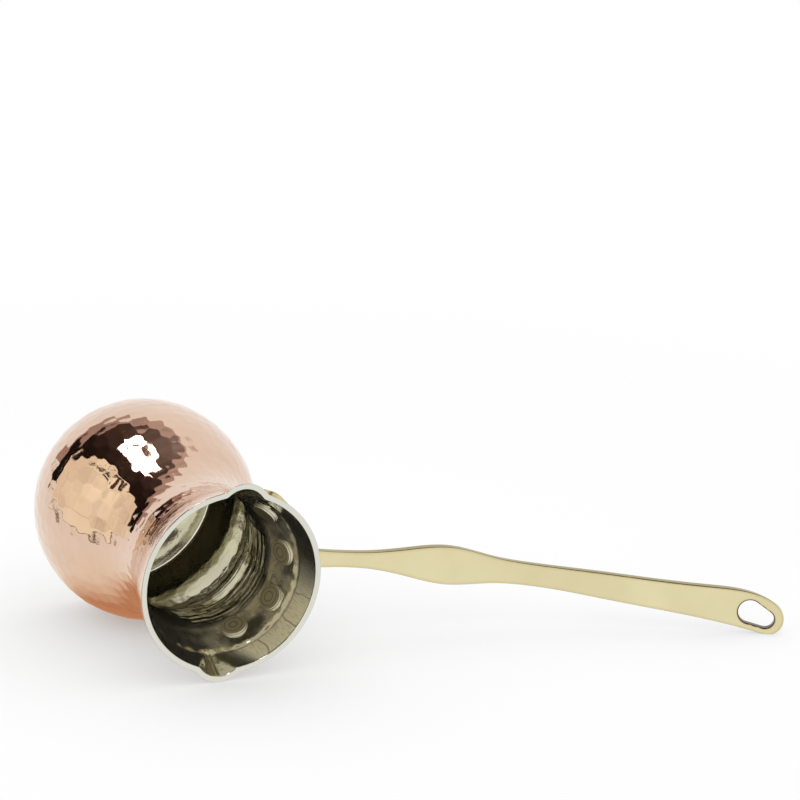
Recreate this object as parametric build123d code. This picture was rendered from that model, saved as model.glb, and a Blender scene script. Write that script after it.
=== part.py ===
from build123d import *
from math import acos, atan2, cos, degrees, hypot, radians, sin, sqrt, tan
import os

# Turkish coffee pot (cezve): tinned copper vessel with a riveted brass handle.
#
# Millimetres, +Z up.  The origin is the centre of the flat base, the handle runs along +X and
# the two pouring spouts point along +Y and -Y.

# Vessel, measured on its outer surface
height = 102.0            # base to rim
rim_radius = 33.5
band_height = 9.7         # plain collar under the rim
band_foot_radius = 31.4
throat_radius = 26.2
throat_height = 68.0
bowl_radius = 40.0
bowl_height = 20.0        # height of the widest girth
upper_bowl_arc = 52.0     # profile radius above the girth
lower_bowl_arc = 43.5     # profile radius below the girth
base_corner = 3.0

# Walls
copper_thickness = 1.6
tin_thickness = 0.4
wall = copper_thickness + tin_thickness
inner_corner = 1.2

# Two pinched spouts, a quarter turn from the handle
spout_reach = 36.3        # axis to the tip
spout_radius = 10.4       # beak radius at the rim
spout_root_radius = 4.5
spout_root_proud = 0.2    # the channel's foot just breaks the neck's surface
spout_depth = 14.0        # how far the channel runs down from the rim
spout_angles = (90.0, 270.0)

# Handle bar: level at the pot, one long bend, then straight
bar_thickness = 3.2
bar_height = 72.0         # middle of the bar where it leaves the pot
bend_start = 54.0
bend_radius = 218.0
bend_angle = 28.6
bar_edge = 0.5            # rounding of its long edges

# Bar outline seen from above, as (distance from the axis, half width)
bar_outline = (
    (40.0, 3.6),
    (52.0, 2.95),
    (66.0, 3.1),
    (80.0, 4.9),
    (89.0, 6.5),
    (97.5, 7.15),
    (106.0, 6.2),
    (115.0, 4.75),
    (126.0, 4.15),
    (150.0, 4.75),
)
outline_start_slope = -0.08
outline_end_slope = 0.045

# Free end seen from above, from the +Y side round to the -Y side: fuller and squarer towards -Y
bar_end = (
    (171.0, 5.8),
    (186.0, 7.0),
    (197.0, 7.6),
    (204.6, 6.2),
    (209.4, 3.1),
    (211.1, -1.2),
    (210.3, -4.9),
    (207.6, -7.1),
    (203.0, -7.1),
    (194.0, -6.1),
    (172.0, -5.2),
)

# Hanging hole: the hull of a large and a small circle, given by (distance back from the tip, y)
large_end = (12.2, 0.1)
large_end_radius = 4.4
small_end = (6.3, -1.7)
small_end_radius = 3.3

# Mounting plate, part of the handle casting
plate_thickness = 3.2
plate_ends = (-76.0, 67.0)
plate_foot = 69.2
plate_top = 90.6
plate_corner = 5.0
plate_edge = 0.6
root_half_width = 9.0     # the bar flares to this where it meets the plate
root_slope = 1.1          # how steeply the flare leaves the plate

# Rivets, set by hand: angle around the neck and height
rivet_places = ((-60.5, 82.5), (-24.0, 84.5), (13.5, 84.5), (51.0, 84.0))
shank_diameter = 5.0
shank_clearance = 0.02
flange_diameter = 9.6     # inner head: a thin flange under a raised disc
flange_thickness = 0.5
disc_diameter = 8.8
disc_thickness = 0.6
outer_head_diameter = 8.0
outer_head_thickness = 2.0
outer_head_chamfer = 0.8
head_sink = 1.0           # heads start inside the wall and are trimmed to its surface

# Worked out from the sizes above
tip_reach = max(x for x, y in bar_end)
neck_rise = height - band_height - throat_height
neck_spread = band_foot_radius - throat_radius
neck_arc = (neck_rise**2 + neck_spread**2) / (2 * neck_spread)
axis_offset = throat_radius - bowl_radius + upper_bowl_arc
waist_rise = throat_height - bowl_height
shoulder_arc = (axis_offset**2 + waist_rise**2 - upper_bowl_arc**2) / (
    2 * (upper_bowl_arc - axis_offset)
)
shoulder_turn = atan2(waist_rise, axis_offset + shoulder_arc)
far = 4 * bowl_radius     # longer than anything in the pot


def neck_radius(level):
    """Outer radius of the flared neck, between the throat and the band."""
    return throat_radius + neck_arc - sqrt(neck_arc**2 - (level - throat_height) ** 2)


def profile_solid(inset, floor, corner, top=height):
    """Solid of revolution inside the vessel's outer surface, moved in by `inset`."""
    upper = upper_bowl_arc - inset
    lower = lower_bowl_arc - inset
    shoulder = shoulder_arc + inset
    neck = neck_arc + inset
    upper_x = bowl_radius - upper_bowl_arc
    lower_x = bowl_radius - lower_bowl_arc
    shoulder_x = throat_radius + shoulder_arc
    neck_x = throat_radius + neck_arc
    neck_turn = acos((neck_x - band_foot_radius) / neck_arc)

    def on_lower(drop):
        return (lower_x + lower * cos(drop), bowl_height - lower * sin(drop))

    def on_upper(turn):
        return (upper_x + upper * cos(turn), bowl_height + upper * sin(turn))

    def on_shoulder(turn):
        return (shoulder_x - shoulder * cos(turn), throat_height - shoulder * sin(turn))

    def on_neck(turn):
        return (neck_x - neck * cos(turn), throat_height + neck * sin(turn))

    drop = atan2(bowl_height - floor, sqrt(lower**2 - (bowl_height - floor) ** 2))
    slope = (rim_radius - band_foot_radius) / band_height
    rim = (rim_radius - inset + slope * (top - height), top)
    line = Polyline((0, top), (0, floor), on_lower(drop))
    line += ThreePointArc(on_lower(drop), on_lower(drop / 2), on_lower(0))
    line += ThreePointArc(on_upper(0), on_upper(shoulder_turn / 2), on_upper(shoulder_turn))
    line += ThreePointArc(on_shoulder(shoulder_turn), on_shoulder(shoulder_turn / 2), on_shoulder(0))
    line += ThreePointArc(on_neck(0), on_neck(neck_turn / 2), on_neck(neck_turn))
    line += Polyline(on_neck(neck_turn), rim, (0, top))
    solid = revolve(Plane.XZ * make_face(line), Axis.Z)
    base_edge = solid.edges().filter_by(GeomType.CIRCLE).sort_by(Axis.Z)[0]
    return fillet(base_edge, corner)


def beak(angle, inset, top=height):
    """Tapered round channel of one spout, moved in by `inset`."""
    above = top - height
    root_level = height - spout_depth
    root_middle = neck_radius(root_level) + spout_root_proud - spout_root_radius
    rim_middle = spout_reach - spout_radius
    slant = (rim_middle - root_middle) / spout_depth
    growth = (spout_radius - spout_root_radius) / spout_depth
    root = Pos(root_middle, 0, root_level) * Circle(spout_root_radius - inset)
    rim = Pos(rim_middle + slant * above, 0, top) * Circle(spout_radius - inset + growth * above)
    return Rot(0, 0, angle) * loft([root, rim])


def filled(inset, floor, corner, top=height):
    """The whole pot filled solid, with its spouts."""
    body = profile_solid(inset, floor, corner, top)
    for angle in spout_angles:
        body += beak(angle, inset, top)
    return body


def slab(low, high):
    return Pos(0, 0, low) * Box(far, far, high - low, align=(Align.CENTER, Align.CENTER, Align.MIN))


def bar_level(x):
    """Height of the bar's middle above its start, at distance x from the axis."""
    bent = min(max(x - bend_start, 0), bend_radius * sin(radians(bend_angle)))
    straight = max(x - bend_start - bent, 0)
    return bend_radius - sqrt(bend_radius**2 - bent**2) + straight * tan(radians(bend_angle))


def bar_side():
    """Side view of the bar: its thickness along the level, bent and straight stretches."""

    def on_path(x):
        return (x, bar_height + bar_level(x))

    bend_middle = bend_start + bend_radius * sin(radians(bend_angle / 2))
    bend_end = bend_start + bend_radius * sin(radians(bend_angle))
    path = Line(on_path(0), on_path(bend_start))
    path += ThreePointArc(on_path(bend_start), on_path(bend_middle), on_path(bend_end))
    path += Line(on_path(bend_end), on_path(tip_reach + bar_thickness))
    side = Plane.XZ * make_face(offset(path, bar_thickness / 2, side=Side.BOTH))
    return extrude(side, amount=root_half_width + bar_thickness, both=True)


def bar_plan():
    """Top view of the bar, extruded upwards, with its flared root and rounded end."""
    right = [(x, -half) for x, half in bar_outline]
    left = [(x, half) for x, half in reversed(bar_outline)]
    root = neck_radius(bar_height)
    start_right, start_left = (1, -outline_start_slope), (-1, -outline_start_slope)
    end_right, end_left = (1, -outline_end_slope), (-1, -outline_end_slope)
    outline = Spline((root, -root_half_width), right[0], tangents=[(1, root_slope), start_right])
    outline += Spline(*right, tangents=[start_right, end_right])
    outline += Spline(right[-1], *reversed(bar_end), left[0], tangents=[end_right, end_left])
    outline += Spline(*left, tangents=[end_left, start_left])
    outline += Spline(left[-1], (root, root_half_width), tangents=[start_left, (-1, root_slope)])
    outline += Polyline((root, root_half_width), (0, root_half_width), (0, -root_half_width),
                        (root, -root_half_width))
    return extrude(make_face(outline), amount=far)


def hanging_hole():
    """The hole as a solid: two round ends joined by their two outer tangents."""
    tip = Pos(tip_reach, 0, bar_height + bar_level(tip_reach)) * Rot(0, -bend_angle, 0)
    along, across = small_end[0] - large_end[0], small_end[1] - large_end[1]
    heading = atan2(across, -along)
    spread = acos((large_end_radius - small_end_radius) / hypot(along, across))

    def tangent_point(middle, radius, turn):
        return (-middle[0] + radius * cos(turn), middle[1] + radius * sin(turn))

    ends = [(large_end, large_end_radius), (small_end, small_end_radius)]
    corners = [tangent_point(*end, heading + spread) for end in ends]
    corners += [tangent_point(*end, heading - spread) for end in reversed(ends)]
    outline = make_face(Polyline(*corners, corners[0]))
    for (back, y), radius in ends:
        outline += Pos(-back, y) * Circle(radius)
    return tip * extrude(outline, amount=2 * bar_thickness, both=True)


def rivet_frame(angle, level):
    """Frame on the neck's outer surface at one rivet, with Z pointing out of the wall."""
    rise = level - throat_height
    tilt = degrees(atan2(rise, sqrt(neck_arc**2 - rise**2)))
    return Rot(0, 0, angle) * Pos(neck_radius(level), 0, level) * Rot(0, 90 + tilt, 0)


def shank_hole(place):
    return rivet_frame(*place) * Cylinder(shank_diameter / 2, 4 * (wall + plate_thickness))


def mounting_plate():
    """Curved plate that wraps the neck under the band, with rounded corners and edges."""
    ring = profile_solid(-plate_thickness, -plate_thickness, base_corner)
    ring -= profile_solid(0, 0, base_corner)
    ring &= slab(plate_foot, plate_top)
    start, end = [(far * cos(radians(turn)), far * sin(radians(turn))) for turn in plate_ends]
    wedge = make_face(Polyline((0, 0), start, (far, -far), (far, far), end, (0, 0)))
    ring &= extrude(wedge, amount=height)
    ends = [edge for edge in ring.edges().filter_by(GeomType.LINE)
            if edge.length < 2 * plate_thickness]
    ring = fillet(ends, plate_corner)
    ring = fillet([edge for edge in ring.edges() if is_outer(edge)], plate_edge)
    for place in rivet_places:
        ring -= shank_hole(place)
    return ring


def is_outer(edge):
    """Whether an edge of the plate lies on its outer surface."""
    stations = [edge @ 0.0, edge @ 0.5, edge @ 1.0]
    return all(hypot(p.X, p.Y) - neck_radius(p.Z) > plate_thickness / 2 for p in stations)


def handle():
    bar = bar_side() & bar_plan()
    bar -= hanging_hole()
    bar = fillet([edge for edge in bar.edges() if edge.center().X > throat_radius], bar_edge)
    bar -= profile_solid(-plate_thickness / 2, -plate_thickness, base_corner)
    return mounting_plate() + bar


def rivet(place, cavity, plated):
    """One rivet: stepped head inside, shank through tin, copper and plate, low head outside."""
    frame = rivet_frame(*place)
    upwards = (Align.CENTER, Align.CENTER, Align.MIN)
    downwards = (Align.CENTER, Align.CENTER, Align.MAX)
    shank = Cylinder(shank_diameter / 2 - shank_clearance,
                     wall + plate_thickness + 2 * head_sink, align=upwards)
    inner = Cylinder(flange_diameter / 2, flange_thickness + head_sink, align=downwards)
    inner += Cylinder(disc_diameter / 2, flange_thickness + disc_thickness + head_sink,
                      align=downwards)
    outer = Cylinder(outer_head_diameter / 2, outer_head_thickness + head_sink, align=upwards)
    outer = chamfer(outer.edges().sort_by(Axis.Z)[-1], outer_head_chamfer)
    shank = frame * Pos(0, 0, -wall - head_sink) * shank
    inner = frame * Pos(0, 0, head_sink - wall) * inner
    outer = frame * Pos(0, 0, plate_thickness - head_sink) * outer
    return shank + (inner & cavity) + (outer - plated)


def build():
    skin = filled(0, 0, base_corner)
    mid = filled(copper_thickness, copper_thickness, inner_corner + tin_thickness)
    cavity = filled(wall, wall, inner_corner, height + wall)
    rim_edge = skin & slab(height - tin_thickness, height)

    vessel = skin - mid - rim_edge
    tin = (mid + rim_edge) - cavity
    for place in rivet_places:
        vessel -= shank_hole(place)
        tin -= shank_hole(place)

    plated = profile_solid(-plate_thickness, -plate_thickness, base_corner)
    parts = {"vessel": vessel, "tin_lining": tin, "handle": handle()}
    for number, place in enumerate(rivet_places, start=1):
        parts[f"rivet_{number}"] = rivet(place, cavity, plated)
    return parts


os.makedirs("parts", exist_ok=True)
for name, shape in build().items():
    export_step(shape, f"parts/{name}.step")
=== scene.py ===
"""Looks of the cezve: hammered copper, wiped tin, polished brass, on a pale floor under soft light.

The pot stays upright in its own frame.  The picture shows it lying on its bowl, on one spout and
on the end of its handle, so the floor and the camera are placed where that pose has them.
Lengths are in millimetres until a mesh, light or camera is made, and then in metres.
"""
from math import acos, atan2, ceil, cos, pi, radians, sin, sqrt

import bpy
import numpy as np
from mathutils import Matrix, Vector
from mathutils.geometry import tessellate_polygon


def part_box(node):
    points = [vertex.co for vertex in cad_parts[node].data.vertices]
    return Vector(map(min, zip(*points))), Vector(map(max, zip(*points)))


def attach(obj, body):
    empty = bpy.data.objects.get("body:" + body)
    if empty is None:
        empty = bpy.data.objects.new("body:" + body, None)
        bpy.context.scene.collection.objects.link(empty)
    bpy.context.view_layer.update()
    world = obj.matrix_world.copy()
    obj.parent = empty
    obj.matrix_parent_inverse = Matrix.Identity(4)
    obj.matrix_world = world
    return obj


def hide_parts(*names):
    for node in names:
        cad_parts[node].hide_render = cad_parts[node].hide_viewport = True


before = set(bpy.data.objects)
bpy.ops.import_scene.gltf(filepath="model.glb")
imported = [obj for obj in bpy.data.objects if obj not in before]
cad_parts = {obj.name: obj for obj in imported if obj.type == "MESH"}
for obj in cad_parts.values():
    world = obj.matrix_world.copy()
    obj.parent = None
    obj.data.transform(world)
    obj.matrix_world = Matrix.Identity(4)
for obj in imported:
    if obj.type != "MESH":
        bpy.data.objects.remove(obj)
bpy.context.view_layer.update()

MM = 0.001

# Sizes read from the frame
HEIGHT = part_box("tin_lining")[1].z / MM
BOWL_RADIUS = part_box("vessel")[1].x / MM
SPOUT_REACH = BOWL_RADIUS - 3.7

# The vessel's outer profile
RIM_RADIUS = 33.5
BAND_HEIGHT = 9.7
BAND_FOOT_RADIUS = 31.4
THROAT_RADIUS = 26.2
THROAT_HEIGHT = 68.0
BOWL_HEIGHT = 20.0
UPPER_BOWL_ARC = 52.0
LOWER_BOWL_ARC = 43.5
BASE_CORNER = 3.0
COPPER = 1.6
WALL = 2.0
INNER_CORNER = 1.2
BAND_FOOT = HEIGHT - BAND_HEIGHT

# The two spouts
SPOUT_RADIUS = 10.4
SPOUT_ROOT_RADIUS = 4.5
SPOUT_DEPTH = 14.0
SPOUT_BLEND = 0.5
SPOUT_FADE = 0.7

# Hammer marks: length along the wall and width around it, on the bowl and on the neck
BOWL_MARK = (5.2, 5.3)
NECK_MARK = (7.4, 3.8)
MARK_DEPTH = 0.12
MARK_SOFTNESS = 0.03
MARK_JITTER = 0.17
MARK_START = 36.0         # distance along the profile where the base's edge ends

# Handle's free end: circles that span its hanging hole and the direction its flat face looks
HOLE_CIRCLES = (
    ((199.6, 0.1, 122.9), 4.4), ((202.2, -0.8, 124.3), 3.85), ((204.8, -1.7, 125.7), 3.3),
)
BAR_FACE = (-0.479, 0.0, 0.878)

# Rivet heads inside the neck: angle and level of each, distance of their faces from the axis
HEAD_PLACES = ((-60.5, 82.5), (-24.0, 84.5), (13.5, 84.5), (51.0, 84.0))
HEAD_LEVEL = 26.4

# Edges of the painted zones, in metres as shaders measure; each pair is where a soft edge
# starts and ends.  Levels on the tin:
BASE_EDGE = (0.0023, 0.0034)
THROAT_EDGES = ((0.052, 0.062), (0.076, 0.084))
LIT_WALL_EDGES = ((0.074, 0.080), (0.0915, 0.0925))
BAND_EDGE = (0.0922, 0.0935)
RIM_EDGE = (0.1013, 0.1018)
# Painted light on the band (with brush strokes) and on the wall under it, along -Y, then along X:
BRUSHED_LIT_SIDE = ((-0.010, 0.010), (0.0265, 0.0295))
BRUSHED_LIT_START = (-0.012, 0.006)
LIT_WALL_SIDE = (-0.026, -0.008)
LIT_WALL_START = (-0.012, 0.012)
THROAT_RING = 0.0011      # from one fine ring at the throat to the next
# Rivets: where tin turns to brass, the side with painted shade, painted shade rings at the steps:
BRASS_EDGE = (0.0290, 0.0295)
SHADED_SIDE = (0.010, 0.020)
HEAD_SHADE_RINGS = (0.0021, 0.0036)
# Around the hanging hole:
HOLE_WALL_EDGE = (0.0010, 0.0013)
HOLE_OUTLINE_EDGE = (0.0003, 0.0006)

# Metal colours
NEUTRAL = (0.62, 0.62, 0.62)
COPPER_SHADES = ((0.68, 0.465, 0.335), (0.74, 0.515, 0.375))
COPPER_GLANCE = (0.82, 0.70, 0.62)
TIN_SHADES = ((0.54, 0.51, 0.40), (0.65, 0.625, 0.51))
# Painted sheen on the base inside
TIN_BASE_SHEEN = (0.93, 0.91, 0.80)
TIN_LIP = (0.70, 0.69, 0.61)
# Painted shade on the outer corner of the tin lip
TIN_LIP_CORNER_SHADE = (0.38, 0.37, 0.33)
# Pale colours of the band's brush strokes, painting it as lit
TIN_BRUSHED_LIT = ((0.80, 0.71, 0.45), (0.62, 0.54, 0.33))
TIN_PLANISHED = (0.20, 0.17, 0.10)
# Painted light: warmer, duller tin on the -Y side of the wall under the band
TIN_LIT_WALL = (0.68, 0.59, 0.36)
# Painted shade in reflections seen after two glossy bounces
TIN_DEEP_REFLECTION_SHADE = (0.42, 0.395, 0.30)
BRASS_SHADES = ((0.71, 0.63, 0.375), (0.77, 0.69, 0.425))
# Painted shade along the handle's rounded edges
BRASS_EDGE_SHADE = (0.55, 0.46, 0.21)
# Painted shade on the handle's narrow sides
BRASS_SIDE_SHADE = (0.36, 0.30, 0.14)
# Painted shade in the hanging hole
HOLE_WALL_SHADE = (0.05, 0.035, 0.015)
# Painted shade in a thin line around the hanging hole
HOLE_OUTLINE_SHADE = (0.10, 0.07, 0.03)
# Rivet faces inside: painted light on the -Y side, painted shade on the +Y side
HEAD_FACE_LIT_AND_SHADED = ((0.42, 0.35, 0.20), (0.20, 0.17, 0.09))
# Painted highlight on the rivet heads' edges
HEAD_EDGE_HIGHLIGHT = (0.92, 0.89, 0.76)
# Painted shade rings at the rivet heads' steps
HEAD_RING_SHADE = (0.10, 0.08, 0.04)

# Mesh density
AROUND = 480
STEP = 0.7
COARSE_STEP = 3.0

# Lying pose, and the camera: its place, turn and lens were fitted to the photograph
BOWL_BALL = (0.0, 0.0, 20.0)
BAR_END = (208.2, -7.0, 124.0)
CAMERA_ALONG = 1025.1
CAMERA_SIDE = -440.9
CAMERA_HEIGHT = 398.4
CAMERA_HEADING = -26.14
CAMERA_PITCH = 14.84
CAMERA_ROLL = 1.67
CAMERA_LENS = 153.0

# Studio
STUDIO_SHEEN = 1.0
STUDIO_LIGHT = 1.18
CARD_DISTANCE = 2.5
# Card outlines where they show on the bowl's disc (right, up, in bowl radii).  They and the
# paper's edge below were read from the bowl's reflections in the photograph.
DARK_CARD = (
    (-0.86, 0.23), (-0.80, 0.37), (-0.72, 0.48), (-0.63, 0.57), (-0.50, 0.60), (-0.37, 0.655),
    (-0.26, 0.70), (-0.15, 0.74), (-0.04, 0.755), (0.06, 0.755), (0.16, 0.72), (0.24, 0.68),
    (0.31, 0.61), (0.335, 0.53), (0.29, 0.435), (0.225, 0.31), (0.157, 0.23), (0.10, 0.16),
    (0.05, 0.07), (-0.02, -0.05), (-0.06, 0.06), (-0.15, 0.15), (-0.23, 0.24), (-0.31, 0.34),
    (-0.39, 0.41), (-0.47, 0.45), (-0.56, 0.48), (-0.64, 0.49), (-0.71, 0.41), (-0.77, 0.31),
    (-0.83, 0.22),
)
WARM_CARD = (
    (-0.83, 0.22), (-0.77, 0.31), (-0.71, 0.41), (-0.64, 0.49), (-0.56, 0.48), (-0.47, 0.45),
    (-0.39, 0.41), (-0.31, 0.34), (-0.23, 0.24), (-0.15, 0.15), (-0.06, 0.06), (-0.02, -0.05),
    (-0.05, -0.22), (-0.12, -0.34), (-0.31, -0.24), (-0.50, -0.15), (-0.65, -0.13), (-0.72, -0.10),
    (-0.85, 0.06),
)
SOFT_BOX = (
    (-0.235, 0.665), (-0.04, 0.65), (0.02, 0.45), (0.035, 0.33), (-0.03, 0.335), (-0.09, 0.44),
    (-0.245, 0.50),
)
HALO_CARD = (
    (-0.82, 0.38), (-0.73, 0.52), (-0.63, 0.615), (-0.50, 0.655), (-0.37, 0.71), (-0.26, 0.76),
    (-0.15, 0.795), (-0.04, 0.81), (0.07, 0.80), (0.18, 0.765), (0.27, 0.725), (0.36, 0.65),
    (0.38, 0.53), (0.33, 0.42), (0.25, 0.31), (0.10, 0.20), (0.20, 0.45), (-0.15, 0.60),
    (-0.50, 0.55), (-0.75, 0.40),
)
PANE_CARDS = (
    ((-0.425, 0.385), (-0.375, 0.375), (-0.365, 0.32), (-0.395, 0.29), (-0.43, 0.33)),
    ((-0.345, 0.30), (-0.29, 0.295), (-0.285, 0.25), (-0.31, 0.215), (-0.35, 0.25)),
)
PAPER_EDGE = (0.503, -0.864, 165.0)   # its direction over the floor, and how far it is
TABLE = (1.1, 1.1, 0.96)
DARK_SHADES = (
    (0.01, 0.007, 0.006), (0.02, 0.012, 0.011), (0.07, 0.045, 0.038), (0.22, 0.18, 0.17),
    (0.46, 0.40, 0.40),
)
WARM_SHADES = ((0.80, 0.68, 0.54), (1.12, 1.14, 1.0), (1.12, 1.16, 1.05))
HALO_SHADES = ((0.42, 0.29, 0.25), (0.52, 0.40, 0.37), (0.72, 0.64, 0.62))
SOFT_WHITE = (5.0, 5.0, 5.0)
BROWN = (0.06, 0.035, 0.028)
NEAR_CARD = 0.35          # share of CARD_DISTANCE for a card that stands in front of another


# ---------------------------------------------------------------- profile of the wall

def arc_points(centre, radius, start, end, side, step):
    """Points (r, z) and outward normals on an arc; side is +1 where the wall bulges outwards."""
    count = max(ceil(abs(end - start) * radius / step), ceil(abs(end - start) / radians(10)), 2)
    angle = np.linspace(start, end, count + 1)
    ray = np.stack([np.cos(angle), np.sin(angle)], axis=1)
    return np.array(centre) + radius * ray, side * ray


def line_points(start, end, step):
    """Points and normals on a straight stretch, walked with the outside on its right."""
    start, end = np.array(start, float), np.array(end, float)
    length = np.linalg.norm(end - start)
    share = np.linspace(0, 1, max(ceil(length / step), 1) + 1)[:, None]
    along = (end - start) / length
    normal = np.array([along[1], -along[0]])
    return start + share * (end - start), np.repeat(normal[None], len(share), axis=0)


def wall_profile(inset, corner, step):
    """The wall's section from the middle of the base to the rim, moved in by `inset`."""
    rise, spread = BAND_FOOT - THROAT_HEIGHT, BAND_FOOT_RADIUS - THROAT_RADIUS
    neck_arc = (rise**2 + spread**2) / (2 * spread)
    offset = THROAT_RADIUS - BOWL_RADIUS + UPPER_BOWL_ARC
    waist = THROAT_HEIGHT - BOWL_HEIGHT
    shoulder_arc = (offset**2 + waist**2 - UPPER_BOWL_ARC**2) / (2 * (UPPER_BOWL_ARC - offset))
    shoulder_turn = atan2(waist, offset + shoulder_arc)
    lower_middle = np.array([BOWL_RADIUS - LOWER_BOWL_ARC, BOWL_HEIGHT])
    upper_middle = np.array([BOWL_RADIUS - UPPER_BOWL_ARC, BOWL_HEIGHT])
    shoulder_middle = np.array([THROAT_RADIUS + shoulder_arc, THROAT_HEIGHT])
    neck_middle = np.array([THROAT_RADIUS + neck_arc, THROAT_HEIGHT])
    neck_turn = acos((neck_middle[0] - BAND_FOOT_RADIUS) / neck_arc)

    lower, corner_level = LOWER_BOWL_ARC - inset, inset + corner
    reach = sqrt((lower - corner) ** 2 - (BOWL_HEIGHT - corner_level) ** 2)
    corner_middle = np.array([lower_middle[0] + reach, corner_level])
    drop = atan2(corner_level - BOWL_HEIGHT, reach)
    neck_end = neck_middle - (neck_arc + inset) * np.array([cos(neck_turn), -sin(neck_turn)])
    pieces = [
        line_points((0.0, inset), (corner_middle[0], inset), 2 * step),
        arc_points(corner_middle, corner, -pi / 2, drop, 1, step),
        arc_points(lower_middle, lower, drop, 0, 1, step),
        arc_points(upper_middle, UPPER_BOWL_ARC - inset, 0, shoulder_turn, 1, step),
        arc_points(shoulder_middle, shoulder_arc + inset, pi + shoulder_turn, pi, -1, step),
        arc_points(neck_middle, neck_arc + inset, pi, pi - neck_turn, -1, step),
        line_points(neck_end, (RIM_RADIUS - inset, HEIGHT), step),
    ]
    points = np.concatenate([pieces[0][0]] + [part[0][1:] for part in pieces[1:]])
    normals = np.concatenate([pieces[0][1]] + [part[1][1:] for part in pieces[1:]])
    return points, normals


def neck_radius(level):
    rise, spread = BAND_FOOT - THROAT_HEIGHT, BAND_FOOT_RADIUS - THROAT_RADIUS
    neck_arc = (rise**2 + spread**2) / (2 * spread)
    return THROAT_RADIUS + neck_arc - sqrt(neck_arc**2 - (level - THROAT_HEIGHT) ** 2)


def smooth_max(a, b, softness):
    return (a + b + np.sqrt((a - b) ** 2 + softness**2)) / 2


def smooth_step(low, high, value):
    share = np.clip((value - low) / (high - low), 0, 1)
    return share * share * (3 - 2 * share)


def with_spouts(radius, level, turn, inset):
    """Radius of the wall at height `level` and at the angles `turn`, spouts included."""
    share = (level - (HEIGHT - SPOUT_DEPTH)) / SPOUT_DEPTH
    if share <= 0:
        return np.full_like(turn, radius)
    root = neck_radius(HEIGHT - SPOUT_DEPTH) - SPOUT_ROOT_RADIUS
    middle = root + share * (SPOUT_REACH - SPOUT_RADIUS - root)
    beak = SPOUT_ROOT_RADIUS + share * (SPOUT_RADIUS - SPOUT_ROOT_RADIUS) - inset
    from_spout = (turn % pi) - pi / 2
    inside = np.maximum(beak**2 - (middle * np.sin(from_spout)) ** 2, 0)
    reach = middle * np.cos(from_spout) + np.sqrt(inside)
    reach = reach - SPOUT_FADE * (1 - smooth_step(0, 0.5, share))
    return smooth_max(radius, reach, SPOUT_BLEND)


# ---------------------------------------------------------------- hammer marks

def mark_size(height_share):
    """Length and width of a hammer mark, from the bowl (0) to the neck (1)."""
    return [low + (high - low) * height_share for low, high in zip(BOWL_MARK, NECK_MARK)]


def hammer_rows(distance, points):
    """Rows of marks up the wall: (distance, length, count around, offset, jitters)."""
    draw = np.random.default_rng(11)
    rows = []
    at = MARK_START
    while at < distance[-1]:
        radius, level = [np.interp(at, distance, points[:, axis]) for axis in (0, 1)]
        share = smooth_step(BOWL_HEIGHT + 30, THROAT_HEIGHT, level)
        length, width = mark_size(share)
        count = round(2 * pi * radius / width)
        jitter = draw.uniform(-MARK_JITTER, MARK_JITTER, (count, 3))
        rows.append((at, length, count, draw.uniform(0, 1), jitter))
        at += length * 0.87
    return rows


def hammer_relief(distance, points, turn):
    """Height of the hammered surface over the plain wall, one row per profile point."""
    rows = hammer_rows(distance, points)
    relief = np.zeros((len(distance), len(turn)))
    for line, at in enumerate(distance):
        near = [row for row in rows if abs(row[0] - at) < 2.2 * row[1]]
        values = []
        for centre, length, count, offset, jitter in near:
            place = turn / (2 * pi) * count + offset
            for step in (-1, 0, 1):
                mark = np.floor(place).astype(int) + step
                sideways, lengthways, deeper = jitter[mark % count].T
                across = place - (mark + 0.5 + sideways)
                along = (at - centre) / length + lengthways
                values.append(across**2 + along**2 + 0.6 * deeper)
        if values:
            stack = np.array(values)
            lowest = stack.min(axis=0)
            sharpness = MARK_SOFTNESS / (4 * MARK_DEPTH)
            crowd = np.exp((lowest - stack) / sharpness).sum(axis=0)
            relief[line] = lowest - sharpness * np.log(crowd)
    fade = smooth_step(MARK_START - 2, MARK_START + 2, distance)
    fade *= 1 - smooth_step(BAND_FOOT - 2.5, BAND_FOOT - 0.4, points[:, 1])
    return MARK_DEPTH * 4 * (relief - 0.25) * fade[:, None]


# ---------------------------------------------------------------- meshes

def path_length(points):
    return np.concatenate([[0], np.cumsum(np.linalg.norm(np.diff(points, axis=0), axis=1))])


def wall_rows(inset, corner, step, relief=None, top=HEIGHT):
    """Rings of vertices over the wall, from the middle of the base to the level `top`."""
    points, normals = wall_profile(inset, corner, step)
    keep = points[:, 1] <= top + 1e-6
    points, normals = points[keep], normals[keep]
    turn = np.arange(AROUND) * 2 * pi / AROUND
    lift = relief(path_length(points), points, turn) if relief else np.zeros((len(points), AROUND))
    rows = []
    for (radius, level), (out, up), rise in zip(points, normals, lift):
        ring = with_spouts(radius, level, turn, inset) + out * rise
        rows.append(np.stack([ring * np.cos(turn), ring * np.sin(turn), level + up * rise], axis=1))
    return rows


def rim_row(inset, level):
    """One ring at the rim, used for its flat edge and its rounded corners."""
    turn = np.arange(AROUND) * 2 * pi / AROUND
    slope = (RIM_RADIUS - BAND_FOOT_RADIUS) / BAND_HEIGHT
    radius = RIM_RADIUS - inset - slope * (HEIGHT - level)
    ring = with_spouts(radius, level, turn, inset)
    return np.stack([ring * np.cos(turn), ring * np.sin(turn), np.full(AROUND, level)], axis=1)


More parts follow.
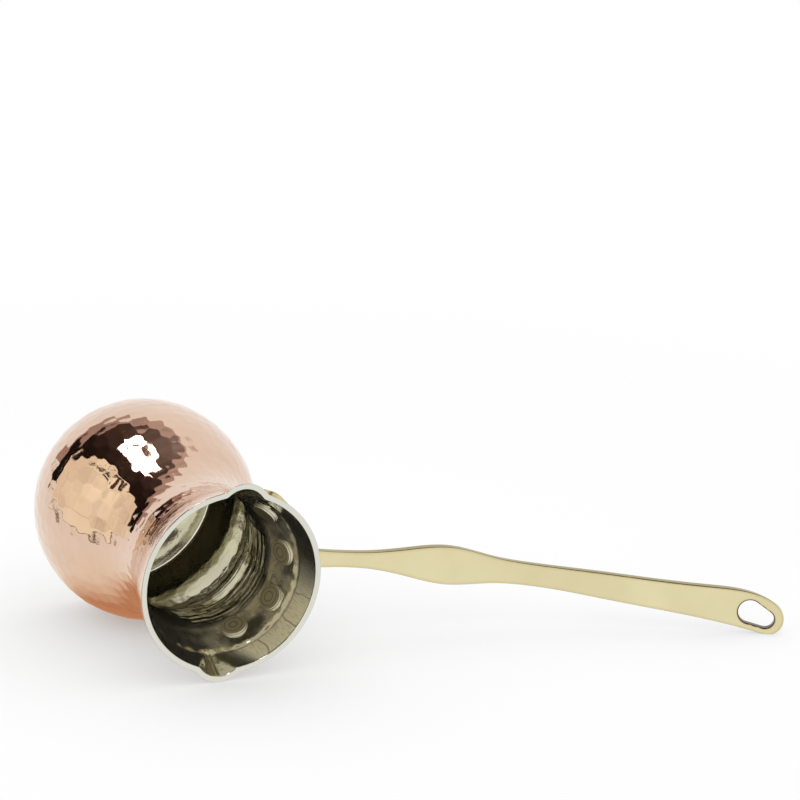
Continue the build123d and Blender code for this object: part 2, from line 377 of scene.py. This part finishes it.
def lathe(name, rows):
    """Closed mesh through the rings; the first and the last ring have shrunk to a point."""
    rings = rows[1:-1]
    first, last = rows[0].mean(axis=0), rows[-1].mean(axis=0)
    vertices = np.concatenate([first[None], *rings, last[None]]) * MM
    index = 1 + np.arange(len(rings) * AROUND).reshape(len(rings), AROUND)
    after = np.roll(index, -1, axis=1)
    quads = np.stack([index[:-1], after[:-1], after[1:], index[1:]], axis=-1).reshape(-1, 4)
    end = len(vertices) - 1
    bottom = [(0, b, a) for a, b in zip(index[0], after[0])]
    top = [(a, b, end) for a, b in zip(index[-1], after[-1])]
    mesh = bpy.data.meshes.new(name)
    mesh.from_pydata(vertices.tolist(), [], quads.tolist() + bottom + top)
    mesh.validate()
    mesh.shade_smooth()
    piece = bpy.data.objects.new(name, mesh)
    bpy.context.scene.collection.objects.link(piece)
    return piece


def copper_vessel():
    outside = wall_rows(0, BASE_CORNER, STEP, hammer_relief, HEIGHT - WALL + COPPER)
    inside = wall_rows(COPPER, INNER_CORNER, COARSE_STEP, top=HEIGHT - WALL + COPPER)
    edge = [rim_row(inset, HEIGHT - WALL + COPPER) for inset in (0, COPPER)]
    return lathe("vessel_skin", outside + edge + inside[::-1])


def tin_relief(distance, points, turn):
    """Dents left by the hammer outside, ripples around the throat, and a bead under the band."""
    level = points[:, 1][:, None]
    drift = 0.5 * np.sin(3 * turn + 1.0) + 0.3 * np.sin(8 * turn) + 0.15 * np.sin(19 * turn + 2.0)
    ripples = np.sin(2 * pi * (level + drift) / 4.0 + 1.5 * np.sin(0.35 * level))
    near_throat = smooth_step(50, 60, level) * (1 - smooth_step(74, 80, level))
    strength = 1 + 0.4 * np.sin(5 * turn + 0.4 * level)
    bead = np.exp(-(((level + 0.7 * drift - BAND_FOOT + 1.9) / 1.1) ** 2))
    bead *= 1 + 0.8 * np.sin(23 * turn) * np.sin(7 * turn + 1.0) + 0.5 * np.sin(41 * turn)
    groove = np.exp(-(((level + 0.15 * drift - BAND_FOOT - 0.1) / 0.35) ** 2))
    dents = hammer_relief(distance, points, turn)
    return 0.5 * dents + 0.085 * ripples * strength * near_throat - 0.17 * bead + 0.12 * groove


def tin_coat():
    inside = wall_rows(WALL, INNER_CORNER, STEP, tin_relief, HEIGHT - 0.5)
    outside = wall_rows(COPPER, INNER_CORNER, COARSE_STEP, top=HEIGHT - WALL + COPPER)
    rounding = [(0, 0.22), (0.03, 0.11), (0.11, 0.03), (0.22, 0)]
    lip = [rim_row(0, HEIGHT - WALL + COPPER)]
    lip += [rim_row(inset, HEIGHT - below) for inset, below in rounding]
    lip += [rim_row(WALL / 2, HEIGHT)]
    lip += [rim_row(WALL - inset, HEIGHT - below) for inset, below in rounding[::-1]]
    return lathe("tin_coat", outside + lip + inside[::-1])


# ---------------------------------------------------------------- materials

class Shader:
    """A material's node tree, with short calls for the nodes used here."""

    def __init__(self, name):
        self.material = bpy.data.materials.new(name)
        self.material.use_nodes = True
        self.tree = self.material.node_tree
        self.surface = self.tree.nodes["Principled BSDF"]
        self.surface.inputs["Metallic"].default_value = 1.0

    def node(self, kind, **settings):
        made = self.tree.nodes.new("ShaderNode" + kind)
        for key, value in settings.items():
            setattr(made, key, value)
        return made

    def link(self, source, target):
        self.tree.links.new(source, target)

    def noise(self, scale, detail=3.0, vector=None):
        made = self.node("TexNoise")
        made.inputs["Scale"].default_value = scale
        made.inputs["Detail"].default_value = detail
        self.link(vector or self.place(), made.inputs["Vector"])
        return made.outputs["Fac"]

    def place(self):
        return self.node("TexCoord").outputs["Object"]

    def ramp(self, factor, stops):
        made = self.node("ValToRGB")
        elements = made.color_ramp.elements
        while len(elements) < len(stops):
            elements.new(0.5)
        for element, (position, colour) in zip(elements, stops):
            element.position = position
            element.color = (*colour, 1.0)
        self.link(factor, made.inputs["Fac"])
        return made.outputs["Color"]

    def cloud(self, scale, shades):
        """Soft clouds between two colours."""
        return self.ramp(self.noise(scale), list(zip((0.3, 0.7), shades)))

    def span(self, factor, low, high):
        """Factor 0 to 1 becomes low to high."""
        made = self.node("MapRange")
        made.inputs["To Min"].default_value = low
        made.inputs["To Max"].default_value = high
        self.link(factor, made.inputs["Value"])
        return made.outputs["Result"]

    def bump(self, height, strength, distance, before=None):
        made = self.node("Bump")
        made.inputs["Strength"].default_value = strength
        made.inputs["Distance"].default_value = distance
        self.link(height, made.inputs["Height"])
        if before:
            self.link(before, made.inputs["Normal"])
        return made.outputs["Normal"]

    def math(self, operation, first, second):
        made = self.node("Math", operation=operation)
        for value, socket in zip((first, second), made.inputs):
            if isinstance(value, (int, float)):
                socket.default_value = value
            else:
                self.link(value, socket)
        return made.outputs["Value"]

    def times(self, first, second):
        return self.math("MULTIPLY", first, second)

    def invert(self, value):
        return self.math("SUBTRACT", 1.0, value)

    def magnitude(self, value):
        return self.math("ABSOLUTE", value, 0)

    def zone(self, value, start, end):
        """1 from the soft edge `start` to the soft edge `end`, 0 outside them."""
        return self.math("SUBTRACT", self.between(value, *start), self.between(value, *end))

    def line(self, value, at, width):
        """1 on a thin line where the value is `at`."""
        half, core = width / 2, width / 6
        return self.zone(value, (at - half, at - core), (at + core, at + half))

    def flat_product(self, first, second):
        """Dot product of two vectors seen from above, each given by its axes."""
        return self.math("ADD", self.times(first["X"], second["X"]),
                         self.times(first["Y"], second["Y"]))

    def between(self, value, low, high):
        """0 up to `low`, 1 from `high`, smooth between them."""
        made = self.node("MapRange", interpolation_type="SMOOTHSTEP")
        made.inputs["From Min"].default_value = low
        made.inputs["From Max"].default_value = high
        self.link(value, made.inputs["Value"])
        return made.outputs["Result"]

    def axes(self, vector):
        """X, Y and Z of a vector."""
        made = self.node("SeparateXYZ")
        self.link(vector, made.inputs["Vector"])
        return made.outputs

    def pack(self, x, y):
        """Vector from two values."""
        made = self.node("CombineXYZ")
        self.link(x, made.inputs["X"])
        self.link(y, made.inputs["Y"])
        return made.outputs["Vector"]

    def dot(self, vector, fixed):
        made = self.node("VectorMath", operation="DOT_PRODUCT")
        self.link(vector, made.inputs[0])
        made.inputs[1].default_value = fixed
        return made.outputs["Value"]

    def gap(self, vector, point):
        """Distance in metres from a fixed point given in millimetres."""
        made = self.node("VectorMath", operation="DISTANCE")
        self.link(vector, made.inputs[0])
        made.inputs[1].default_value = [value * MM for value in point]
        return made.outputs["Value"]

    def first_bounce(self):
        """1 where a floor seen directly gathers light from here, so that it stays neutral."""
        path = self.node("LightPath").outputs
        direct = self.math("LESS_THAN", path["Glossy Depth"], 0.5)
        return self.times(path["Is Diffuse Ray"], direct)

    def mix(self, factor, first, second, blend="MIX"):
        """Colour mix; each colour is a socket or three numbers."""
        made = self.node("Mix", data_type="RGBA", blend_type=blend)
        self.link(factor, made.inputs["Factor"])
        for colour, name in ((first, "A"), (second, "B")):
            socket = next(s for s in made.inputs if s.name == name and s.type == "RGBA")
            if isinstance(colour, tuple):
                socket.default_value = (*colour, 1.0)
            else:
                self.link(colour, socket)
        return next(s for s in made.outputs if s.type == "RGBA")

    def finish(self, colour, roughness, normal):
        colour = self.mix(self.first_bounce(), colour, NEUTRAL)
        self.link(colour, self.surface.inputs["Base Color"])
        self.link(roughness, self.surface.inputs["Roughness"])
        self.link(normal, self.surface.inputs["Normal"])
        return self.material


def copper_material():
    shader = Shader("hammered_copper")
    colour = shader.cloud(60.0, COPPER_SHADES)
    grazing = shader.node("LayerWeight")
    grazing.inputs["Blend"].default_value = 0.15
    colour = shader.mix(grazing.outputs["Facing"], colour, COPPER_GLANCE)
    roughness = shader.span(shader.noise(180.0), 0.04, 0.09)
    normal = shader.bump(shader.noise(420.0), 0.15, 0.0002)
    return shader.finish(colour, roughness, normal)


def brushed_lit_tin(shader, axes):
    """Band painted pale as lit, with worn strokes up the wall and uneven planishing lines."""
    turned = shader.math("ARCTAN2", axes["Y"], axes["X"])
    place = shader.pack(shader.times(turned, 60.0), shader.times(axes["Z"], 250.0))
    strokes = shader.between(shader.noise(1.0, 2.0, place), 0.45, 0.70)
    phase = shader.math("ADD", shader.times(turned, 17.0), shader.times(shader.noise(40.0), 9.0))
    planished = shader.between(shader.math("SINE", phase, 0), 0.975, 1.0)
    worn = shader.mix(strokes, *TIN_BRUSHED_LIT)
    return shader.mix(shader.times(planished, 0.7), worn, TIN_PLANISHED)


def tin_material():
    """Wiped tin: brownish and mirror-like inside, with fine rings at the throat, a painted sheen on
    the base, painted light on the -Y side of the band (with brush strokes there) and of the wall
    under it, a pale rim whose outer corner has a painted shade, and painted shade in reflections
    seen after two glossy bounces."""
    shader = Shader("wiped_tin")
    axes = shader.axes(shader.place())
    level = axes["Z"]
    side = shader.times(axes["Y"], -1.0)
    normals = shader.axes(shader.node("NewGeometry").outputs["Normal"])
    path = shader.node("LightPath").outputs

    on_rim = shader.between(level, *RIM_EDGE)
    on_base = shader.invert(shader.between(level, *BASE_EDGE))
    on_band = shader.math("SUBTRACT", shader.between(level, *BAND_EDGE), on_rim)
    # Only the -Y side of the band gets these: painted light, with real brush strokes
    brushed_lit = shader.times(on_band, shader.zone(side, *BRUSHED_LIT_SIDE))
    brushed_lit = shader.times(brushed_lit, shader.between(axes["X"], *BRUSHED_LIT_START))
    patches = shader.between(shader.noise(110.0, 5.0), 0.35, 0.65)
    # Painted light, in patches, on the -Y side of the wall under the band
    lit_wall = shader.times(shader.zone(level, *LIT_WALL_EDGES), patches)
    lit_wall = shader.times(lit_wall, shader.between(axes["X"], *LIT_WALL_START))
    lit_wall = shader.times(lit_wall, shader.between(side, *LIT_WALL_SIDE))

    # The lip's outer rounding, picked by its normal, gets a painted shade
    outer_corner_shade = shader.between(shader.flat_product(axes, normals), 0.008, 0.022)
    # The base inside is painted paler: a painted sheen
    colour = shader.mix(on_base, shader.cloud(90.0, TIN_SHADES), TIN_BASE_SHEEN)
    colour = shader.mix(on_rim, colour, shader.mix(outer_corner_shade, TIN_LIP, TIN_LIP_CORNER_SHADE))
    colour = shader.mix(brushed_lit, colour, brushed_lit_tin(shader, axes))
    colour = shader.mix(lit_wall, colour, TIN_LIT_WALL)
    # Reflections after two glossy bounces see a darker tin: painted shade
    deep_reflection = shader.math("GREATER_THAN", path["Glossy Depth"], 1.5)
    colour = shader.mix(deep_reflection, colour, TIN_DEEP_REFLECTION_SHADE)

    dull = shader.math("ADD", shader.times(brushed_lit, 0.55), shader.times(lit_wall, 0.34))
    dull = shader.times(shader.math("ADD", dull, 0.04), shader.invert(on_rim))
    shader.link(shader.invert(dull), shader.surface.inputs["Metallic"])
    roughness = shader.math("ADD", shader.span(shader.noise(200.0), 0.04, 0.09),
                            shader.times(brushed_lit, 0.33))

    rings = shader.math("SINE", shader.times(level, 2 * pi / THROAT_RING), 0)
    rings = shader.times(rings, shader.zone(level, *THROAT_EDGES))
    normal = shader.bump(shader.noise(260.0), 0.2, 0.0003)
    normal = shader.bump(shader.noise(600.0, 4.0), 0.25, 0.0002, normal)
    normal = shader.bump(rings, 0.3, 0.00002, normal)
    return shader.finish(colour, roughness, normal)


def nearest(shader, position, circles):
    """Distance in metres to the nearest of some (point, radius) balls given in millimetres."""
    distance = 1.0
    for point, radius in circles:
        beyond = shader.math("SUBTRACT", shader.gap(position, point), radius * MM)
        distance = shader.math("MINIMUM", distance, beyond)
    return distance


def brass_material():
    """Polished brass, with painted shade along its rounded edges and on its narrow sides, painted
    shade in the hanging hole and a thin line of painted shade around the hole."""
    shader = Shader("polished_brass")
    geometry = shader.node("NewGeometry").outputs
    sideways = shader.magnitude(shader.axes(geometry["Normal"])["Y"])
    bevel = shader.node("Bevel", samples=6)
    bevel.inputs["Radius"].default_value = 0.0018
    rounded = shader.node("VectorMath", operation="DOT_PRODUCT")
    shader.link(bevel.outputs["Normal"], rounded.inputs[0])
    shader.link(geometry["Normal"], rounded.inputs[1])
    # Painted shade along the rounded edges, where the bevelled normal turns away
    edge_shade = shader.invert(shader.between(rounded.outputs["Value"], 0.86, 0.999))
    colour = shader.mix(edge_shade, shader.cloud(50.0, BRASS_SHADES), BRASS_EDGE_SHADE)
    # Painted shade on the narrow sides
    colour = shader.mix(shader.between(sideways, 0.35, 0.8), colour, BRASS_SIDE_SHADE)

    across = shader.magnitude(shader.dot(geometry["Normal"], BAR_FACE))
    from_hole = nearest(shader, geometry["Position"], HOLE_CIRCLES)
    # Painted shade on the wall of the hanging hole
    hole_wall_shade = shader.times(shader.invert(shader.between(across, 0.6, 0.97)),
                             shader.invert(shader.between(from_hole, *HOLE_WALL_EDGE)))
    colour = shader.mix(hole_wall_shade, colour, HOLE_WALL_SHADE)
    # Painted shade in a thin line around the hole
    hole_outline_shade = shader.invert(shader.between(from_hole, *HOLE_OUTLINE_EDGE))
    colour = shader.mix(hole_outline_shade, colour, HOLE_OUTLINE_SHADE)

    roughness = shader.span(shader.noise(300.0), 0.16, 0.26)
    normal = shader.bump(shader.noise(45.0), 0.25, 0.0006)
    normal = shader.bump(shader.noise(500.0), 0.1, 0.0001, normal)
    return shader.finish(colour, roughness, normal)


def head_middle(angle, level):
    """Middle of a rivet's inside face."""
    return HEAD_LEVEL * cos(radians(angle)), HEAD_LEVEL * sin(radians(angle)), level


def rivet_material():
    """Brass outside the neck; inside it tinned over, duller, with a painted highlight on the
    edges, painted light and shade on the face by side, and painted shade rings at the steps.
    """
    shader = Shader("rivet_metal")
    geometry = shader.node("NewGeometry").outputs
    position, normals = shader.axes(geometry["Position"]), shader.axes(geometry["Normal"])
    from_axis = shader.math("SQRT", shader.flat_product(position, position), 0)
    outside = shader.between(from_axis, *BRASS_EDGE)
    inwards = shader.math("DIVIDE", shader.flat_product(position, normals), from_axis)
    facing = shader.magnitude(inwards)
    # The face is painted lit on the -Y side and shaded on the +Y side
    face = shader.mix(shader.between(position["Y"], *SHADED_SIDE), *HEAD_FACE_LIT_AND_SHADED)
    # The head's edges get a painted highlight
    tinned = shader.mix(shader.between(facing, 0.4, 0.85), HEAD_EDGE_HIGHLIGHT, face)
    middles = [(head_middle(*place), 0) for place in HEAD_PLACES]
    from_middle = nearest(shader, geometry["Position"], middles)
    # Painted shade rings at the head's steps
    for radius in HEAD_SHADE_RINGS:
        ring = shader.line(from_middle, radius, 0.0006)
        tinned = shader.mix(shader.times(ring, 0.55), tinned, HEAD_RING_SHADE)
    colour = shader.mix(outside, tinned, shader.cloud(50.0, BRASS_SHADES))

    shader.link(shader.span(outside, 0.62, 1.0), shader.surface.inputs["Metallic"])
    roughness = shader.math("ADD", shader.span(shader.noise(300.0), 0.14, 0.26),
                            shader.span(outside, 0.2, 0.0))
    normal = shader.bump(shader.noise(400.0), 0.2, 0.0002)
    return shader.finish(colour, roughness, normal)


def floor_material(name, edge=None):
    """White floor that melts into the white background away from the object.  Reflections of it
    close to the pot show a painted shadow warmed by the copper's own glow, and past `edge` (a
    direction and a limit along it) they show the table that the white paper lies on, with a
    dark line at the paper's edge."""
    shader = Shader(name)
    shader.surface.inputs["Base Color"].default_value = (0.9, 0.9, 0.9, 1)
    shader.surface.inputs["Metallic"].default_value = 0.0
    shader.surface.inputs["Roughness"].default_value = 0.9
    shader.surface.inputs["Specular IOR Level"].default_value = 0.0
    length = shader.node("VectorMath", operation="LENGTH")
    shader.link(shader.place(), length.inputs[0])
    away = length.outputs["Value"]
    fade = shader.span(shader.between(away, 0.05, 0.65), 0.35, 1.0)
    reflected = shader.node("LightPath").outputs["Is Glossy Ray"]
    # Painted shadow, warmed by the copper, in the floor's reflections near the pot
    mirrored = shader.ramp(shader.span(away, 0.0, 10.0), [
        (0.0, (0.58, 0.26, 0.13)), (0.26, (0.60, 0.30, 0.165)), (0.36, (0.84, 0.66, 0.52)),
        (0.50, (0.97, 0.93, 0.86)), (1.0, (1, 1, 1)),
    ])
    if edge:
        direction, limit = edge
        past = shader.dot(shader.node("NewGeometry").outputs["Position"], direction)
        mirrored = shader.mix(shader.between(past, limit, limit + 0.002), mirrored, TABLE)
        seam = shader.zone(past, (limit - 0.009, limit - 0.005), (limit + 0.005, limit + 0.009))
        mirrored = shader.mix(seam, mirrored, BROWN)

    def glow(colour):
        made = shader.node("Emission")
        shader.link(colour, made.inputs["Color"])
        return made.outputs["Emission"]

    def blend(factor, first, second):
        made = shader.node("MixShader")
        shader.link(factor, made.inputs["Fac"])
        shader.link(first, made.inputs[1])
        shader.link(second, made.inputs[2])
        return made.outputs["Shader"]

    whites = [(0, (0.93, 0.93, 0.93)), (1, (1, 1, 1))]
    white = shader.ramp(shader.between(away, 0.2, 0.6), whites)
    surface = blend(fade, shader.surface.outputs["BSDF"], glow(white))
    surface = blend(reflected, surface, glow(mirrored))
    shader.link(surface, shader.tree.nodes["Material Output"].inputs["Surface"])
    return shader.material


# ---------------------------------------------------------------- stage

def resting_axes():
    """The floor under the lying pot: its up direction, the pot's axis laid flat on it, and the
    third direction; all in the pot's frame."""
    ball, tip, end = [Vector(p) for p in (BOWL_BALL, (0, -SPOUT_REACH, HEIGHT), BAR_END)]
    along = (end - tip).normalized()
    arm = (ball - tip) - (ball - tip).dot(along) * along
    tilt = acos(BOWL_RADIUS / arm.length)
    up = arm.normalized() * cos(tilt) + along.cross(arm.normalized()) * sin(tilt)
    axis = Vector((0, 0, 1))
    ahead = (axis - axis.dot(up) * up).normalized()
    return up, ahead, up.cross(ahead)


def make_camera():
    up, ahead, side = resting_axes()
    ball = Vector(BOWL_BALL)
    mouth = Vector((0, 0, HEIGHT))
    foot = mouth - ((mouth - ball).dot(up) + BOWL_RADIUS) * up
    heading, pitch, roll = [radians(a) for a in (CAMERA_HEADING, CAMERA_PITCH, CAMERA_ROLL)]
    level = ahead * cos(heading) + side * sin(heading)
    back = level * cos(pitch) + up * sin(pitch)
    right = up.cross(back).normalized()
    top = back.cross(right)
    right, top = right * cos(roll) + top * sin(roll), top * cos(roll) - right * sin(roll)
    data = bpy.data.cameras.new("camera")
    data.lens = CAMERA_LENS
    data.clip_end = 20.0
    camera = bpy.data.objects.new("camera", data)
    place = foot + CAMERA_ALONG * ahead + CAMERA_SIDE * side + CAMERA_HEIGHT * up
    turn = Matrix((right, top, back)).transposed().to_4x4()
    camera.matrix_world = Matrix.Translation(place * MM) @ turn
    bpy.context.scene.collection.objects.link(camera)
    bpy.context.scene.camera = camera
    return camera


def make_floor(name, point, up, material):
    """A wide square floor through a point."""
    half = 4.0
    mesh = bpy.data.meshes.new(name)
    corners = [(-half, -half, 0), (half, -half, 0), (half, half, 0), (-half, half, 0)]
    mesh.from_pydata(corners, [], [(0, 1, 2, 3)])
    mesh.materials.append(material)
    floor = bpy.data.objects.new(name, mesh)
    turn = up.to_track_quat("Z", "Y").to_matrix().to_4x4()
    floor.matrix_world = Matrix.Translation(Vector(point) * MM) @ turn
    bpy.context.scene.collection.objects.link(floor)
    return floor


def show_only(thing, camera, place, at_place):
    """Hides `thing` from renders unless the camera is at `place` (or, if not at_place, is away)."""
    driver = thing.driver_add("hide_render").driver
    for name, kind in (("x", "LOC_X"), ("y", "LOC_Y"), ("z", "LOC_Z")):
        variable = driver.variables.new()
        variable.name = name
        variable.type = "TRANSFORMS"
        variable.targets[0].id = camera
        variable.targets[0].transform_type = kind
    apart = " + ".join(f"abs({name} - ({value:.6f}))" for name, value in zip("xyz", place))
    driver.expression = f"{apart} {'>' if at_place else '<'} 0.001"


def make_world():
    """An even white studio; it lights the floor a little over white, as in a product picture."""
    world = bpy.data.worlds.new("studio")
    world.use_nodes = True
    bpy.context.scene.world = world
    tree = world.node_tree
    background = tree.nodes["Background"]
    background.inputs["Color"].default_value = (1, 1, 1, 1)
    path = tree.nodes.new("ShaderNodeLightPath")
    strength = tree.nodes.new("ShaderNodeMapRange")
    strength.inputs["To Min"].default_value = STUDIO_SHEEN
    strength.inputs["To Max"].default_value = STUDIO_LIGHT
    tree.links.new(path.outputs["Is Diffuse Ray"], strength.inputs["Value"])
    tree.links.new(strength.outputs["Result"], background.inputs["Strength"])


def card_material(name, shades, low, high):
    """Glow that runs through `shades` from the level x = low to x = high."""
    shader = Shader(name)
    x = shader.axes(shader.place())["X"]
    along = shader.node("MapRange")
    along.inputs["From Min"].default_value = low
    along.inputs["From Max"].default_value = high
    shader.link(x, along.inputs["Value"])
    stops = [(index / max(len(shades) - 1, 1), shade) for index, shade in enumerate(shades)]
    glow = shader.node("Emission")
    shader.link(shader.ramp(along.outputs["Result"], stops), glow.inputs["Color"])
    shader.link(shader.span(shader.noise(1.6, 2.0), 0.5, 1.5), glow.inputs["Strength"])
    shader.link(glow.outputs["Emission"], shader.tree.nodes["Material Output"].inputs["Surface"])
    shader.tree.nodes.remove(shader.surface)
    return shader.material


def card(name, camera, outline, shades, distance=CARD_DISTANCE):
    """A studio card that only reflections see.  Its outline is given where it shows on the bowl's
    disc (right, up, in bowl radii); its shades run from its left to its right."""
    middle = camera.matrix_world.inverted() @ (Vector(BOWL_BALL) * MM)
    view = -middle.normalized()
    right = (Vector((1, 0, 0)) - view.x * view).normalized()
    top = view.cross(right)
    corners = []
    for across, up in outline:
        facing = right * across + top * up + view * sqrt(1 - across**2 - up**2)
        corners.append(middle + distance * (2 * facing.dot(view) * facing - view))
    mesh = bpy.data.meshes.new(name)
    flat = [Vector((across, up, 0)) for across, up in outline]
    mesh.from_pydata(corners, [], tessellate_polygon([flat]))
    low, high = min(c.x for c in corners), max(c.x for c in corners)
    mesh.materials.append(card_material(name, shades, low, high))
    thing = bpy.data.objects.new(name, mesh)
    thing.parent = camera
    for ray in ("camera", "diffuse", "shadow", "transmission", "volume_scatter"):
        setattr(thing, "visible_" + ray, False)
    bpy.context.scene.collection.objects.link(thing)


def dress(name, material):
    """Gives a CAD node its material."""
    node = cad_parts[name]
    node.data.materials.clear()
    node.data.materials.append(material)


def main():
    copper, tin, brass = copper_material(), tin_material(), brass_material()
    for piece, node, material, slot in (
        (copper_vessel(), "vessel", copper, "copper"),
        (tin_coat(), "tin_lining", tin, "tin"),
    ):
        piece.data.materials.append(material)
        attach(piece, "root")
        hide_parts(node)
    dress("handle", brass)
    riveted = rivet_material()
    for number in range(1, 5):
        dress(f"rivet_{number}", riveted)

    up, ahead, side = resting_axes()
    camera = make_camera()
    under_bowl = Vector(BOWL_BALL) - BOWL_RADIUS * up
    edge = PAPER_EDGE[0] * ahead + PAPER_EDGE[1] * side
    limit = (edge.dot(under_bowl) + PAPER_EDGE[2]) * MM
    paper = floor_material("paper_floor", (edge, limit))
    lying = make_floor("lying_floor", under_bowl, up, paper)
    plain = floor_material("pale_floor")
    standing = make_floor("standing_floor", (0, 0, 0), Vector((0, 0, 1)), plain)
    place = camera.matrix_world.translation
    show_only(lying, camera, place, True)
    show_only(standing, camera, place, False)
    card("dark_card", camera, DARK_CARD, DARK_SHADES)
    card("warm_card", camera, WARM_CARD, WARM_SHADES)
    card("halo_card", camera, HALO_CARD, HALO_SHADES, 2 * CARD_DISTANCE)
    card("soft_box", camera, SOFT_BOX, (SOFT_WHITE, SOFT_WHITE), NEAR_CARD * CARD_DISTANCE)
    for number, outline in enumerate(PANE_CARDS):
        card(f"pane_card_{number}", camera, outline, (BROWN, BROWN), NEAR_CARD * CARD_DISTANCE)
    make_world()
    scene = bpy.context.scene
    scene.view_settings.view_transform = "Standard"
    scene.cycles.glossy_bounces = 12


main()
